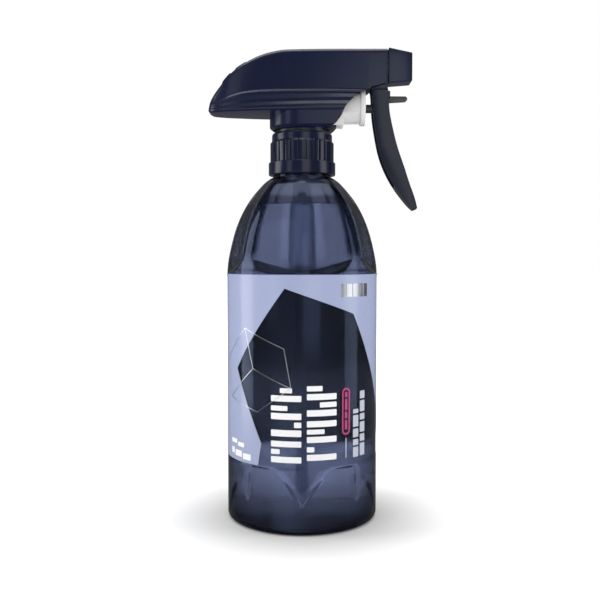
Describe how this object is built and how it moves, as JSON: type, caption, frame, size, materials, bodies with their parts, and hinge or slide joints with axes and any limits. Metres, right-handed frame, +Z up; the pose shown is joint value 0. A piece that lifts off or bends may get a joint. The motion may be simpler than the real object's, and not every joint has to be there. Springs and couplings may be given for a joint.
{
  "type": "trigger spray bottle",
  "caption": "Tall tinted bottle with faceted shoulder and wrap label, screw closure and trigger pump sprayer that squirts car-care fluid.",
  "frame": {"origin": "centre of the bottle's foot ring, on the plane the bottle stands on", "axes": "+Z up along the bottle's axis, +X towards the nozzle, symmetric about Y = 0"},
  "size_m": [0.0992, 0.072, 0.223],
  "materials": {
    "bottle_pet": "clear tinted, glossy",
    "label_film": "satin printed film",
    "head_plastic": "glossy",
    "collar_plastic": "glossy",
    "white_plastic": "satin",
    "dark_plastic": "satin",
    "tube_plastic": "clear, glossy",
    "seal_rubber": "matte",
    "ball_steel": "polished",
    "spring_steel": "drawn wire"
  },
  "bodies": {
    "bottle": {"bottle": "bottle_pet", "label_wrap": "label_film"},
    "sprayer": {"shroud": "head_plastic", "pump_body": "white_plastic", "riser_plug": "white_plastic", "neck_connector": "collar_plastic", "neck_gasket": "seal_rubber", "dip_tube": "tube_plastic", "inlet_valve_seat": "white_plastic", "stop_tab": "dark_plastic", "base_clip": "dark_plastic", "nozzle_stem": "white_plastic", "nozzle_seal": "seal_rubber", "swirl_insert": "white_plastic", "return_spring": "spring_steel", "outlet_spring": "spring_steel"},
    "closure": {"closure_collar": "collar_plastic"},
    "nozzle": {"nozzle_cap": "head_plastic", "orifice_disc": "white_plastic"},
    "trigger": {"trigger": "head_plastic"},
    "piston": {"piston_rod": "dark_plastic", "piston_cup": "seal_rubber", "vent_seal": "seal_rubber"},
    "inlet_ball": {"inlet_ball": "ball_steel"},
    "outlet_valve": {"outlet_valve": "white_plastic"}
  },
  "joints": [
    {"name": "head_lift_off", "type": "slide", "parent": "bottle", "child": "sprayer", "axis": [0, 0, 1], "range_m": [0, 0.19]},
    {"name": "closure_turn", "type": "hinge", "parent": "sprayer", "child": "closure", "pos_m": [0, 0, 0.1735], "axis": [0, 0, 1], "continuous": true},
    {"name": "nozzle_turn", "type": "hinge", "parent": "sprayer", "child": "nozzle", "pos_m": [0.0408, 0, 0.2142], "axis": [1, 0, 0], "continuous": true},
    {"name": "trigger_pull", "type": "hinge", "parent": "sprayer", "child": "trigger", "pos_m": [0.0355, 0, 0.2115], "axis": [0, 1, 0], "range_deg": [0, 10.3], "stiffness_Nm_per_rad": 0.8, "springref_deg": -6.88},
    {"name": "piston_slide", "type": "slide", "parent": "sprayer", "child": "piston", "axis": [-1, 0, 0], "range_m": [0, 0.0029], "deforming": ["return_spring"]},
    {"name": "inlet_ball_lift", "type": "slide", "parent": "sprayer", "child": "inlet_ball", "axis": [0, 0, 1], "range_m": [0, 0.0008]},
    {"name": "outlet_valve_lift", "type": "slide", "parent": "sprayer", "child": "outlet_valve", "axis": [0, 0, 1], "range_m": [0, 0.0015], "stiffness_N_per_m": 60, "springref_m": -0.0008, "deforming": ["outlet_spring"]}
  ],
  "couplings": [
    {"joint": "piston_slide", "follows": "trigger_pull", "m_per_rad": 0.0161}
  ]
}
